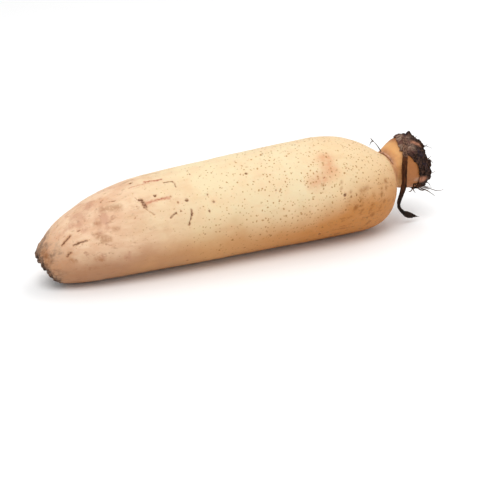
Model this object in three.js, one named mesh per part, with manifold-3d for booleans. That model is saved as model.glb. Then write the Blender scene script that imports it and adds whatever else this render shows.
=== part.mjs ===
// A lotus root segment: one swollen internode of a lotus rhizome, lying on a surface as it was cut.
// Millimetres, +Z up. +X runs along the root towards its node, and the origin is the middle of the flat
// spot that the root rests on.
//
// The flesh grew as one piece: a long body, stoutest near its node end, that tapers to a small slanted
// scar at the tail; a domed shoulder with a tight crease; and a round node, cut off just past its middle.
// Air channels run along the inside and show as holes in both ends. A cap of dry, torn sheath with short
// roots sits round the cut node, and a long flat root hangs from its top down over the node, to end close
// above the surface. A thin dry scale with a forked root is left in the crease.
import * as THREE from "three";
import { mergeVertices } from "three/addons/utils/BufferGeometryUtils.js";
import Module from "manifold-3d";

const wasm = await Module();
wasm.setup();

// Driving dimensions. Each station of the flesh is an upright ring: x, its middle y and z, its radius.
const STATIONS = [
  [-117, 0, 6.4, 4.2],
  [-112.5, 0, 11.8, 9.1],
  [-104, 0, 16.2, 14.7],
  [-96, 0, 18.7, 18.3],
  [-88, 0, 20.5, 20.7],
  [-80, 0, 22.3, 22.6],
  [-64, 0, 24.7, 25.0],
  [-44, 0, 26.3, 26.6],
  [-16, 0, 27.5, 27.8],
  [14, 0, 28.7, 29.0],
  [44, 0, 29.7, 30.0],
  [60, 0, 30.1, 30.4],
  [74, 0, 29.2, 29.5],
  [84, 0, 27.6, 27.8],
  [92, 0, 26.0, 25.2],
  [98, 0, 25.3, 22.4],
  [102, 0, 25.9, 19.3],
  [104.6, 0.1, 27.8, 16.2],
  [105.7, 0.4, 30.6, 13.6],
  [107.2, 0.6, 34.2, 12.3],
  [109.5, 0.6, 35.6, 12.9],
  [113, 1.0, 36.4, 14.3],
  [117.5, 1.9, 36.6, 15.5],
  [123, 3.0, 36.2, 16.0],
  [129.5, 4.4, 34.6, 15.2],
];
// The node leans: towards its cut the rings tip back at the top by this slope.
const NODE_LEAN = { slope: 0.11, from: 112, to: 129.5 };
const RINGS_PER_STATION = 2;
const BODY_SECTORS = 40;
const SWELLING = 0.3;
const SWELLING_FROM = -100;
const SWELLING_TO = 92;
const NODE_FACE_DOME = 0.5;

const TAIL_SCAR = { x: -108.2, z: 8.5, outward: [-0.815, 0.163, -0.556], across: [0.196, 0.981, 0] };
const TAIL_CHANNELS = { count: 8, circle: 5.4, radius: 1.1, depth: 5, middle: 0.8 };
const NODE_CHANNELS = { count: 9, circle: 9.2, radius: 1.9, depth: 7, middle: 1.2 };
const CHANNEL_TAPER = 0.7;
const CHANNEL_SIDES = 9;

const GAP = 0.45;
const CAP_SECTORS = 72;
const CAP_STEPS = 5;
const CAP_END = 130.4;
const CAP_FRAY = 0.7;
const CAP_EDGE_THICK = 0.6;
const CAP_THICK = 0.9;
// How far the cap reaches back from the cut, at angles round it: 90 is the top, 180 the near side.
const CAP_REACH = [
  [0, 6],
  [45, 8],
  [68, 13.5],
  [100, 17.5],
  [124, 18.6],
  [144, 16],
  [156, 12.8],
  [173, 10.8],
  [192, 10.4],
  [215, 6.8],
  [228, 5],
  [290, 4.6],
  [360, 6],
];

const ROOTLETS = { count: 16, seed: 5, radius: 0.42, steps: 5, sides: 5 };
// Points of a root that lies near the flesh: x, height above the flesh, angle round it.
const UNDER_FORK = [
  [[127.5, 0.9, 227], [124.2, 1.7, 225], [121.8, 3.2, 223.5], [120.2, 5.2, 222]],
  [[123.2, 2.1, 224.5], [123.2, 4.0, 225], [124.2, 6.2, 226]],
];
const UNDER_FORK_RADIUS = 0.6;

const HANGING_ROUTE = [
  [115.4, -7.2, 51.2],
  [112.9, -10.8, 48.3],
  [111.4, -13.1, 44.6],
  [110.4, -14.4, 40.4],
  [110.1, -15.0, 34.5],
  [110.3, -15.0, 28.5],
  [110.0, -14.3, 24.3],
  [109.1, -13.5, 19.7],
  [108.7, -12.8, 16.4],
  [109.8, -12.0, 13.0],
  [112.6, -11.0, 9.9],
  [116.6, -9.8, 7.0],
  [121.3, -8.6, 4.8],
  [129.0, -7.2, 2.4],
];
const HANGING_STEPS = 44;
const HANGING_SIDES = 8;
const HANGING_HALF_WIDTH = 1.4;
const HANGING_HALF_THICK = 0.6;
const HANGING_LEAF = { at: 0.87, spread: 0.055, swell: 0.4 };

const SCALE = { x: 104.9, height: 1, from: 58, to: 128, halfWidth: 0.7, halfThick: 0.35, steps: 16, sides: 6 };
const SCALE_FORK = [
  [[104.8, 3.1, 45.1], [103.4, 3.2, 47.2], [100.6, 3.1, 50.7], [97.3, 3.0, 53.6]],
  [[98.4, 3.0, 52.7], [96.9, 3.0, 51.6], [96.4, 3.0, 49.8]],
  [[98.8, 3.0, 52.3], [97.4, 3.1, 53.8], [97.0, 3.2, 54.8]],
];
const SCALE_FORK_RADIUS = 0.38;

const SKIN = new THREE.MeshStandardMaterial({ color: 0xe9cfa4, roughness: 0.55, metalness: 0 });
const SHEATH = new THREE.MeshStandardMaterial({ color: 0x33241d, roughness: 0.85, metalness: 0 });
const DRY_SCALE = new THREE.MeshStandardMaterial({ color: 0x8a6a5c, roughness: 0.8, metalness: 0 });

const radians = (degrees) => (degrees * Math.PI) / 180;
const vector = (numbers) => new THREE.Vector3(...numbers);

function seededDraw(seed) {
  let state = seed;
  return (low, high) => {
    state = (state * 1664525 + 1013904223) % 4294967296;
    return low + ((high - low) * state) / 4294967296;
  };
}

// The flesh's middle line and its radius, as curves that share their x at the same share.
const middleLine = new THREE.CatmullRomCurve3(STATIONS.map(([x, y, z]) => vector([x, y, z])), false, "catmullrom");
const girth = new THREE.CatmullRomCurve3(STATIONS.map(([x, , , r]) => vector([x, r, 0])), false, "catmullrom");

function ringAtShare(share) {
  const { x, y, z } = middleLine.getPoint(share);
  return { x, y, z, radius: girth.getPoint(share).y };
}

function ringAt(x) {
  let low = 0;
  let high = 1;
  for (let i = 0; i < 30; i++) {
    const middle = (low + high) / 2;
    if (middleLine.getPoint(middle).x < x) low = middle;
    else high = middle;
  }
  return { ...ringAtShare(low), x };
}

// A point at a distance out from a ring's middle, at an angle in degrees: 0 is the far side (+Y) and 90 the top.
function round(ring, out, angle) {
  const a = radians(angle);
  const lean = NODE_LEAN.slope * THREE.MathUtils.smoothstep(ring.x, NODE_LEAN.from, NODE_LEAN.to);
  return vector([ring.x - lean * out * Math.sin(a), ring.y + out * Math.cos(a), ring.z + out * Math.sin(a)]);
}

// A point at a height above the flesh.
function above([x, height, angle]) {
  const ring = ringAt(x);
  return round(ring, ring.radius + height, angle);
}

function solidFrom(geometry) {
  const bare = geometry.clone();
  bare.deleteAttribute("normal");
  bare.deleteAttribute("uv");
  const merged = mergeVertices(bare, 1e-4);
  return new wasm.Manifold(
    new wasm.Mesh({
      numProp: 3,
      vertProperties: new Float32Array(merged.attributes.position.array),
      triVerts: new Uint32Array(merged.index.array),
    }),
  );
}

function geometryFrom(solid) {
  const { vertProperties, triVerts } = solid.getMesh();
  const geometry = new THREE.BufferGeometry();
  geometry.setAttribute("position", new THREE.BufferAttribute(new Float32Array(vertProperties), 3));
  geometry.setIndex(new THREE.BufferAttribute(new Uint32Array(triVerts), 1));
  geometry.computeVertexNormals();
  return geometry;
}

// Turns a profile and sets each vertex anew: shape(point, angle, index) gives its place on the root.
function turned(profile, sectors, shape) {
  const geometry = new THREE.LatheGeometry(profile, sectors);
  const position = geometry.attributes.position;
  for (let i = 0; i < position.count; i++) {
    const index = i % profile.length;
    const sector = Math.floor(i / profile.length) % sectors;
    const spot = shape(profile[index], (sector / sectors) * 360 - 90, index);
    position.setXYZ(i, spot.x, spot.y, spot.z);
  }
  return geometry;
}

// A closed strand along a curve. At each share of its length, section gives its half width and half
// thickness, and facing gives the way that its flat side looks.
function strand(curve, steps, sides, section, facing) {
  const geometry = new THREE.CylinderGeometry(1, 1, 1, sides, steps);
  const position = geometry.attributes.position;
  for (let i = 0; i < position.count; i++) {
    const share = THREE.MathUtils.clamp(position.getY(i) + 0.5, 0, 1);
    const tangent = curve.getTangentAt(share);
    const across = facing(share).cross(tangent).normalize();
    const outward = tangent.clone().cross(across);
    const [halfWidth, halfThick] = section(share);
    const spot = curve
      .getPointAt(share)
      .addScaledVector(across, position.getX(i) * halfWidth)
      .addScaledVector(outward, -position.getZ(i) * halfThick);
    position.setXYZ(i, spot.x, spot.y, spot.z);
  }
  return solidFrom(geometry);
}

// A thin round root through a few points, tapering to its end.
function rootlet(route, radius, steps, sides) {
  const curve = new THREE.CatmullRomCurve3(route);
  const section = (share) => Array(2).fill(radius * (1.3 - 0.7 * share));
  return strand(curve, steps, sides, section, () => vector([0.31, 0.87, 0.38]));
}

// Slow swellings along and round the body, in millimetres. They fade out underneath, where the root lies flat.
function swelling(x, angle) {
  const a = radians(angle);
  const slow = Math.sin(2 * a + x / 52 + 0.6) + 0.6 * Math.sin(3 * a - x / 31 + 2);
  const fade = THREE.MathUtils.smoothstep(x, SWELLING_FROM, SWELLING_FROM + 30);
  const clear = 1 - Math.max(0, -Math.sin(a)) ** 6;
  return SWELLING * slow * fade * clear * (1 - THREE.MathUtils.smoothstep(x, SWELLING_TO - 30, SWELLING_TO));
}

// A box that covers everything past the plane of the tail scar.
function tailOffcut() {
  const size = 60;
  const outward = vector(TAIL_SCAR.outward).normalize();
  const across = vector(TAIL_SCAR.across).normalize();
  const basis = new THREE.Matrix4().makeBasis(outward, across, outward.clone().cross(across));
  const middle = vector([TAIL_SCAR.x, 0, TAIL_SCAR.z]).addScaledVector(outward, size / 2);
  return solidFrom(new THREE.BoxGeometry(size, size, size).applyMatrix4(basis.setPosition(middle)));
}

// One drill for an air channel, from just outside an end face inwards.
function channelDrill(mouth, outward, radius, depth) {
  const clear = 3;
  const drill = new THREE.CylinderGeometry(radius, radius * CHANNEL_TAPER, depth + clear, CHANNEL_SIDES);
  const turn = new THREE.Quaternion().setFromUnitVectors(vector([0, 1, 0]), outward);
  const middle = mouth.clone().addScaledVector(outward, (clear - depth) / 2);
  return solidFrom(drill.applyMatrix4(new THREE.Matrix4().compose(middle, turn, vector([1, 1, 1]))));
}

function drillChannels(solid, mouth, outward, across, channels) {
  const up = outward.clone().cross(across);
  let drilled = solid.subtract(channelDrill(mouth, outward, channels.middle, channels.depth));
  for (let i = 0; i < channels.count; i++) {
    const angle = radians((i / channels.count) * 360 + 20);
    const radius = channels.radius * (1 + 0.22 * Math.sin(2.4 * i));
    const spot = mouth
      .clone()
      .addScaledVector(across, channels.circle * Math.cos(angle))
      .addScaledVector(up, channels.circle * Math.sin(angle));
    drilled = drilled.subtract(channelDrill(spot, outward, radius, channels.depth));
  }
  return drilled;
}

function makeFlesh() {
  const ringCount = (STATIONS.length - 1) * RINGS_PER_STATION + 1;
  const rings = Array.from({ length: ringCount }, (_, i) => ringAtShare(i / (ringCount - 1)));
  const tail = { ...rings[0], radius: 0 };
  const cut = rings[ringCount - 1];
  const face = [0.92, 0.5, 0].map((share) => ({
    ...cut,
    x: cut.x + NODE_FACE_DOME * Math.sqrt(1 - share * share),
    radius: cut.radius * share,
  }));
  const all = [tail, ...rings, ...face];
  const profile = all.map((ring) => new THREE.Vector2(ring.radius, ring.x));
  const whole = solidFrom(
    turned(profile, BODY_SECTORS, ({ x: out }, sectorAngle, index) => {
      const angle = sectorAngle + 180 / BODY_SECTORS; // one facet faces straight down, to rest on
      const spot = round(all[index], out + (out > 0 ? swelling(all[index].x, angle) : 0), angle);
      spot.z = Math.max(spot.z, 0);
      return spot;
    }),
  );
  const scarMouth = vector([TAIL_SCAR.x, 0, TAIL_SCAR.z]);
  const scarOutward = vector(TAIL_SCAR.outward).normalize();
  const scarAcross = vector(TAIL_SCAR.across).normalize();
  const scarred = drillChannels(whole.subtract(tailOffcut()), scarMouth, scarOutward, scarAcross, TAIL_CHANNELS);
  const cutMouth = vector([cut.x + NODE_FACE_DOME, cut.y, cut.z]);
  return drillChannels(scarred, cutMouth, vector([1, 0, 0]), vector([0, 1, 0]), NODE_CHANNELS);
}

// The cap of dry sheath round the cut node
function capReach(angle) {
  const turn = ((angle % 360) + 360) % 360;
  const next = CAP_REACH.findIndex(([at]) => at > turn);
  const [[fromAngle, fromReach], [toAngle, toReach]] = [CAP_REACH[next - 1], CAP_REACH[next]];
  return THREE.MathUtils.lerp(fromReach, toReach, (turn - fromAngle) / (toAngle - fromAngle));
}

function ragged(angle, phase) {
  const a = radians(angle);
  return Math.sin(7 * a + phase) + 0.8 * Math.sin(13 * a + 2 * phase) + 0.6 * Math.sin(21 * a + 3 * phase);
}

function capPoint({ x: side, y: share }, angle) {
  const start = CAP_END - capReach(angle) - CAP_FRAY * ragged(angle, 1);
  const end = CAP_END + CAP_FRAY * 0.6 * ragged(angle, 2.5);
  const ring = ringAt(THREE.MathUtils.lerp(start, end, share));
  const crumple = 0.3 * Math.sin(9 * radians(angle) + 6 * share) + 0.25 * Math.sin(17 * radians(angle) - 4 * share);
  const thick = CAP_EDGE_THICK + (CAP_THICK + crumple) * Math.sin(Math.PI * (0.1 + 0.75 * share));
  return round(ring, ring.radius + GAP + side * thick, angle);
}

// The cap's section: x is 0 on its inner wall and 1 on its outer one, y runs from its torn edge to the cut.
function capProfile() {
  const steps = Array.from({ length: CAP_STEPS + 1 }, (_, i) => i / CAP_STEPS);
  const outer = steps.map((share) => new THREE.Vector2(1, share));
  const inner = [...steps].reverse().map((share) => new THREE.Vector2(0, share));
  return [...outer, ...inner, outer[0].clone()];
}

// The node's roots, dry and mostly broken short, in a ring round the cut. The lower ones are longest.
function nodeRootlets() {
  const draw = seededDraw(ROOTLETS.seed);
  return Array.from({ length: ROOTLETS.count }, (_, i) => {
    const angle = (i / ROOTLETS.count) * 360 + draw(-9, 9);
    const low = 0.5 - 0.5 * Math.sin(radians(angle));
    const length = draw(3, 6) + 9 * low * draw(0.3, 1);
    const lean = draw(0.3, 0.8) + 0.5 * low;
    const swing = draw(-16, 16);
    const ring = ringAt(CAP_END - draw(1.2, 2.6));
    const route = [0, 0.3, 0.65, 1].map((share) => {
      const forward = { ...ring, x: ring.x + length * share * lean };
      const out = ring.radius + GAP + 0.9 + length * share * (0.8 - 0.4 * share);
      return round(forward, out, angle + swing * share * share);
    });
    return rootlet(route, ROOTLETS.radius, ROOTLETS.steps, ROOTLETS.sides);
  });
}

// The long dry root: a flat strap down over the node, with a leaf-shaped tip where its end curls forward.
function hangingRoot() {
  const section = (share) => {
    const leaf = HANGING_LEAF.swell * Math.exp(-(((share - HANGING_LEAF.at) / HANGING_LEAF.spread) ** 2));
    const waist = 1 - 0.25 * THREE.MathUtils.smoothstep(share, 0.6, 0.75);
    const point = 1 - 0.88 * THREE.MathUtils.smoothstep(share, 0.88, 1);
    const scale = (waist + leaf) * point;
    return [HANGING_HALF_WIDTH * scale, HANGING_HALF_THICK * (0.3 + 0.7 * scale)];
  };
  const route = new THREE.CatmullRomCurve3(HANGING_ROUTE.map(vector));
  return strand(route, HANGING_STEPS, HANGING_SIDES, section, () => vector([-0.25, -1, 0.1]));
}

function makeSheath() {
  const cap = solidFrom(turned(capProfile(), CAP_SECTORS, capPoint));
  const fork = UNDER_FORK.map((route) => rootlet(route.map(above), UNDER_FORK_RADIUS, 5, 6));
  return [hangingRoot(), ...fork, ...nodeRootlets()].reduce((sum, root) => sum.add(root), cap);
}

// The dry scale left in the top of the crease: a thin curved band, with the forked root that grew from it.
function makeScale() {
  const angleAt = (share) => THREE.MathUtils.lerp(SCALE.from, SCALE.to, share);
  const shares = Array.from({ length: 9 }, (_, i) => i / 8);
  const route = new THREE.CatmullRomCurve3(shares.map((share) => above([SCALE.x, SCALE.height, angleAt(share)])));
  const section = (share) => {
    const narrow = 0.35 + 0.65 * Math.sin(Math.PI * share) ** 0.5;
    return [SCALE.halfWidth * narrow, SCALE.halfThick];
  };
  const facing = (share) => above([SCALE.x, 1, angleAt(share)]).sub(above([SCALE.x, 0, angleAt(share)]));
  const band = strand(route, SCALE.steps, SCALE.sides, section, facing);
  return SCALE_FORK.map((root) => rootlet(root.map(vector), SCALE_FORK_RADIUS, 5, 5)).reduce(
    (sum, root) => sum.add(root),
    band,
  );
}

function piece(name, solid, material) {
  const mesh = new THREE.Mesh(geometryFrom(solid), material);
  mesh.name = name;
  return mesh;
}

const lotusRoot = new THREE.Group();
lotusRoot.add(piece("lotus_root", makeFlesh(), SKIN));
lotusRoot.add(piece("node_sheath", makeSheath(), SHEATH));
lotusRoot.add(piece("neck_scale", makeScale(), DRY_SCALE));

export default lotusRoot;
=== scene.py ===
"""A lotus root segment lying on a pale floor, as seen from slightly above its near side.

The flesh is drawn out ring by ring, cut at its tail scar and at its node, drilled for its air channels and
worked over. The torn sheath, the roots and the scale in the crease are made over it. Lengths are in
millimetres in the values below and become metres where a point is made. Angles round the root are in
degrees: 0 is the far side, 90 the top and 180 the near side. Places that were read from the photograph
are kept as its pixels, column and row, and are found on the root along the camera's line of sight.
"""

import math
import random

import bpy
import numpy as np
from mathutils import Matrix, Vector, noise

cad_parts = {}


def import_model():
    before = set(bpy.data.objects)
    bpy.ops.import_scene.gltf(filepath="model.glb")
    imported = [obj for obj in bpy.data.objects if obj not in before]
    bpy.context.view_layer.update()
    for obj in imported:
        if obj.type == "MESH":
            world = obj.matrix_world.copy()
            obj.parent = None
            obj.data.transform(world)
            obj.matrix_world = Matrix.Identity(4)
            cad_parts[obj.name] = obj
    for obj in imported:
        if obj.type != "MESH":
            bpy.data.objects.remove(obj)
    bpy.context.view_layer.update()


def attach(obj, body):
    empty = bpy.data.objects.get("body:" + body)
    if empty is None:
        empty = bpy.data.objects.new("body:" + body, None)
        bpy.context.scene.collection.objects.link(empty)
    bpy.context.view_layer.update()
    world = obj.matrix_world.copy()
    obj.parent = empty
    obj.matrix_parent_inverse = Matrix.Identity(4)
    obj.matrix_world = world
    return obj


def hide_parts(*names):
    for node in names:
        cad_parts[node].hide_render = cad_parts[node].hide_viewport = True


MM = 0.001

# The flesh, as upright rings: x, its middle y and z, its radius
STATIONS = (
    (-117, 0, 6.4, 4.2),
    (-112.5, 0, 11.8, 9.1),
    (-104, 0, 16.2, 14.7),
    (-96, 0, 18.7, 18.3),
    (-88, 0, 20.5, 20.7),
    (-80, 0, 22.3, 22.6),
    (-64, 0, 24.7, 25.0),
    (-44, 0, 26.3, 26.6),
    (-16, 0, 27.5, 27.8),
    (14, 0, 28.7, 29.0),
    (44, 0, 29.7, 30.0),
    (60, 0, 30.1, 30.4),
    (74, 0, 29.2, 29.5),
    (84, 0, 27.6, 27.8),
    (92, 0, 26.0, 25.2),
    (98, 0, 25.3, 22.4),
    (102, 0, 25.9, 19.3),
    (104.6, 0.1, 27.8, 16.2),
    (105.7, 0.4, 30.6, 13.6),
    (107.2, 0.6, 34.2, 12.3),
    (109.5, 0.6, 35.6, 12.9),
    (113, 1.0, 36.4, 14.3),
    (117.5, 1.9, 36.6, 15.5),
    (123, 3.0, 36.2, 16.0),
    (129.5, 4.4, 34.6, 15.2),
)
RINGS_PER_STATION = 6
FLESH_SIDES = 96
SWELLING = 0.3
SWELLING_FROM, SWELLING_TO = -100, 92
NODE_LEAN = 0.11
NODE_LEAN_FROM, NODE_LEAN_TO = 112, 129.5
NODE_CUT = Vector((130.0, 4.4, 34.6))
TAIL_SCAR = Vector((-108.2, 0, 8.5))
TAIL_OUTWARD = Vector((-0.815, 0.163, -0.556)).normalized()
TAIL_ACROSS = Vector((0.196, 0.981, 0)).normalized()
TAIL_CHANNELS = {"count": 8, "circle": 5.4, "radius": 1.1, "depth": 5, "middle": 0.8}
NODE_CHANNELS = {"count": 9, "circle": 9.2, "radius": 1.9, "depth": 7, "middle": 1.2}
CHANNEL_TAPER = 0.7
CHANNEL_FLARE = 1.15
CHANNEL_UNEVEN = 0.22
CHANNEL_TURN = 20
CHANNEL_SIDES = 24
DRILL_CLEAR = 3
END_BLOCK = 80
FLESH_VOXEL = 0.88

# The dry sheath round the cut node: how far it reaches back from the cut, by angle
SHEATH_END = 130.4
SHEATH_THICK = 0.3
SHEATH_REACH = (
    (0, 6),
    (45, 8),
    (68, 13.5),
    (100, 17.5),
    (124, 18.6),
    (144, 16),
    (156, 12.8),
    (173, 9.6),
    (192, 8.4),
    (215, 6.8),
    (228, 5),
    (290, 4.6),
    (360, 6),
)
# Darker flaps over it. "angles" are its first and last, "reach" is how far it reaches back from the cut by
# angle, and "past" is how far it stands past the cut.
FLAPS = (
    {
        "angles": (122, 222),
        "reach": ((122, 9), (138, 13), (152, 12), (165, 9.6), (180, 8.4), (200, 6.6), (222, 3)),
        "past": -0.2,
        "height": 1.0,
        "crumple": 0.6,
        "seed": 11,
    },
    {
        "angles": (60, 132),
        "reach": ((60, 4), (80, 7), (100, 8), (118, 6), (132, 4)),
        "past": 0.6,
        "height": 1.2,
        "crumple": 0.7,
        "seed": 23,
    },
    {
        "angles": (160, 206),
        "reach": ((160, 2), (178, 5), (192, 5.5), (206, 2)),
        "past": 1.2,
        "height": 1.5,
        "crumple": 0.8,
        "seed": 31,
    },
    {
        "angles": (225, 330),
        "reach": ((225, 3), (260, 5), (300, 4), (330, 2)),
        "past": 0.4,
        "height": 0.9,
        "crumple": 0.5,
        "seed": 43,
    },
    {
        "angles": (335, 415),
        "reach": ((335, 3), (370, 6), (400, 6), (415, 3)),
        "past": 0.4,
        "height": 0.9,
        "crumple": 0.6,
        "seed": 57,
    },
)
# Torn pink spots of the sheath, as lines through (x, angle): half width and softness, then the line's points
TORN_PINK = (
    (1.6, 1.2, ((122.5, 121), (127.0, 124))),
    (2.1, 1.4, ((119.5, 206.5), (126.5, 204))),
)

ROOTLETS = {"count": 26, "seed": 5}
# Roots that stand clear of the cut: radius, then points as column and row of the photograph and their y
CLEAR_ROOTS = (
    (0.5, ((416, 182, -8.6), (420.5, 187.5, -9.6), (427, 190.5, -10), (431, 193, -10), (435, 196, -10))),
    (
        0.4,
        (
            (417, 182.5, -9),
            (424, 186.5, -10),
            (430, 188.5, -10),
            (436, 190.5, -10),
            (440, 190.5, -10),
            (444, 189, -10),
        ),
    ),
    (0.35, ((425.5, 181, -9), (428, 180, -10), (430, 178, -10), (431.5, 176.5, -10))),
    (0.3, ((421, 145, -6), (424, 145.5, -7), (427.5, 146.5, -8), (432.5, 148.5, -8.6))),
    (0.62, ((414.5, 182, -8.6), (413.5, 186, -9.4), (412, 189.5, -10), (410, 191.5, -10), (408.5, 191, -10))),
    (0.45, ((413, 187.5, -9.6), (413.5, 190, -10), (415.5, 193, -10))),
    (0.45, ((415, 183.5, -9), (419, 189, -10), (423, 190.5, -10), (425, 189, -10))),
)

HANGING_ROUTE = (
    (119.4, 0.4, 53.2),
    (117.6, -3.6, 52.0),
    (115.2, -7.4, 50.0),
    (113.1, -10.2, 47.3),
    (111.5, -12.9, 44.2),
    (110.4, -14.4, 40.4),
    (110.1, -15.0, 34.5),
    (110.3, -15.0, 28.5),
    (110.0, -14.3, 24.3),
    (109.1, -13.5, 19.7),
    (108.7, -12.8, 16.4),
    (109.8, -12.0, 13.0),
    (112.6, -11.0, 9.9),
    (116.6, -9.8, 7.0),
    (121.3, -8.6, 4.8),
    (129.0, -7.2, 2.4),
)
HANGING_HALF_WIDTH = 1.4
HANGING_HALF_THICK = 0.55
HANGING_LEAF = {"at": 0.9, "spread": 0.065, "swell": 0.65}

# The dry scale in the crease between body and node, and the points of its forked root
SCALE = {"x": 104.9, "height": 1, "angles": (58, 128), "half_width": 0.7, "half_thick": 0.35}
SCALE_FORK = (
    ((104.8, 3.1, 45.1), (103.4, 3.2, 47.2), (100.6, 3.1, 50.7), (97.3, 3.0, 53.6)),
    ((98.4, 3.0, 52.7), (96.9, 3.0, 51.6), (96.4, 3.0, 49.8)),
    ((98.8, 3.0, 52.3), (97.4, 3.1, 53.8), (97.0, 3.2, 54.8)),
)
SCALE_FORK_RADIUS = 0.4

# Marks on the skin, as lines through points of the photograph (column, row): half width and softness in mm,
# then the line's points
RED_SCRATCHES = (
    (0.3, 1.0, ((129, 188.2), (135, 186.2), (141, 184.6), (148, 182.9))),
    (0.7, 0.6, ((144, 182.3), (150, 181.3), (156, 180.5), (160.5, 179.5))),
    (0.8, 1.1, ((146, 203.5), (152, 201), (158, 199.5), (163, 198), (169, 197.5))),
)
DARK_CRACKS = (
    (0.95, 0.6, ((139.5, 199.5), (142, 200), (143.5, 204))),
    (1.2, 0.6, ((143, 202.5), (145.5, 206.5))),
    (0.5, 0.5, ((145.5, 207.5), (148, 210), (150.5, 212.5), (154.5, 214.5))),
    (0.4, 0.5, ((164, 182.5), (168, 181.8), (172, 181.3), (174.5, 183.5), (176, 186.5))),
    (0.7, 0.5, ((191.5, 210), (192, 215))),
    (0.5, 0.5, ((192, 215), (191, 219), (190, 223), (189, 225))),
    (0.55, 0.5, ((176.5, 212.5), (173.5, 215), (171, 218))),
    (0.6, 0.8, ((62, 245.5), (65.5, 241), (70.5, 235.5))),
    (0.6, 0.8, ((73.5, 245.5), (79, 243), (87, 240.5))),
    (0.6, 0.8, ((67, 256.5), (71, 252.5))),
    (0.3, 0.5, ((77, 231.5), (80, 230))),
    (0.35, 0.5, ((101, 202.5), (102, 200.5))),
    (0.3, 0.5, ((109, 201.5), (115, 200.8))),
    (0.35, 0.5, ((129, 184), (132, 183))),
    (0.4, 0.5, ((134.5, 219), (136, 216.5))),
    (0.3, 0.5, ((135, 198), (137, 199))),
)
# Dark spots: half width in mm, column, row
DARK_SPOTS = (
    (1.05, 155, 195.5),
    (0.65, 181, 211),
    (1.0, 187, 200),
    (0.6, 178, 202.5),
    (0.6, 171, 196),
    (0.75, 178, 202),
    (0.6, 181.5, 211),
    (0.45, 187, 171),
    (0.5, 189.5, 174),
    (0.5, 208, 194.5),
    (0.5, 137, 206),
    (0.8, 130.5, 183.5),
    (0.6, 213.5, 201.5),
    (0.55, 209.5, 211),
    (0.75, 246, 173.5),
    (0.65, 261, 154.5),
    (0.5, 276, 190.5),
    (0.6, 280, 191),
    (0.5, 323, 184),
    (0.55, 324, 178),
    (1.1, 345, 195),
    (0.6, 346, 168),
)
# Softer brown spots, most of them low on the shoulder
BROWN_SPOTS = (
    (1.3, 385.5, 181),
    (1.1, 386, 187.8),
    (0.8, 381.7, 188.3),
    (1.0, 381.7, 193.9),
    (0.8, 373.9, 195),
    (0.9, 360.5, 200),
    (0.9, 361.7, 205.5),
    (1.1, 372.2, 204.4),
    (1.7, 355.5, 207.2),
    (0.9, 370.5, 208.9),
    (1.0, 362.2, 210),
    (0.9, 380, 207.8),
    (1.1, 384.4, 201),
    (0.8, 393.3, 200),
    (1.3, 372.8, 214.7),
    (0.8, 341, 182.2),
    (0.8, 341, 188.3),
    (0.8, 350.5, 192),
    (0.8, 322.8, 185.5),
)
BRUISE = (
    (4.2, 3.6, ((325, 158), (327, 165), (330.5, 171.5))),
    (3.6, 3.6, ((330.5, 171.5), (324, 177.5), (313.5, 184))),
)
BROWN_PATCHES = (
    (1.6, 1.4, ((98, 236), (101, 238), (106, 238))),
    (1.4, 1.2, ((103, 241), (109, 239))),
    (1.6, 1.6, ((97.5, 258.5), (102, 260))),
    (2.0, 2.0, ((103, 209.5), (118, 207))),
    (1.2, 1.0, ((95.5, 223), (98.5, 223))),
    (1.0, 1.0, ((114, 229), (118, 229))),
    (1.3, 1.6, ((361, 191), (367, 188))),
    (1.2, 1.4, ((71.5, 260), (74.5, 261))),
)
# Marks at the tail, along the top outline and on the node, as lines through (x, angle) given one by one
BROWN_SHADES = (
    (2.2, 2.4, ((-111.0, 120), (-110.5, 135), (-110.5, 150))),
    (0.7, 1.2, ((-62, 85), (-56, 83))),
    (0.7, 1.2, ((-49.5, 80), (-45, 81), (-41.2, 85))),
)
PALE_TISSUE = (
    (1.6, 1.2, ((121.5, 208), (126.5, 206))),
    (1.2, 1.0, ((126.0, 203), (127.5, 196))),
)
HIDDEN_SIDE = {"seed": 41, "cracks": 16, "spots": 40, "angles": (215, 440), "softness": 0.3}
SPOT_SOFTNESS = {"dark": 0.5, "brown": 1.0}
MARK_DEPTH = {"red_scratch": 0.12, "dark_mark": 0.3}
MARK_EDGE = {"seed": 3, "wander": 0.45, "size": 1.3}
FAINT = 0.65  # how strong the wide brown patches are beside the brown spots
SKIN_TONE = 0.79  # the skin's colours are as they look in the light, which is a little brighter than the skin

# The camera stands where the photograph was taken from, and aims at this point.
CAMERA_AZIMUTH, CAMERA_ELEVATION = -27, 22
CAMERA_DISTANCE = 651
CAMERA_TARGET = Vector((14, 0, -1.6))
CAMERA_LENS, CAMERA_SENSOR = 80, 36
PHOTO_SIDE = 500
SIGHT_FROM, SIGHT_TO, SIGHT_STEP = 520, 800, 0.25

LIGHTS = (
    {"name": "soft_key", "location": (-0.5, -0.7, 1.6), "size": 1.2, "power": 16},
    {"name": "soft_fill", "location": (0.9, 0.4, 1.2), "size": 1.4, "power": 6},
)
LIGHTS_AIM = Vector((0, 0, 0.02))
ROOM_LIGHT = 0.75
FLOOR_SIDE, FLOOR_DROP, FLOOR_TONE = 6, 0.0001, 0.9


def clamp(value, low=0.0, high=1.0):
    return max(low, min(high, value))


def smooth(value, low, high):
    """0 below low, 1 above high, and a smooth step between them."""
    share = clamp((value - low) / (high - low))
    return share * share * (3 - 2 * share)


def between(low, high, share):
    return low + (high - low) * share


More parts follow.
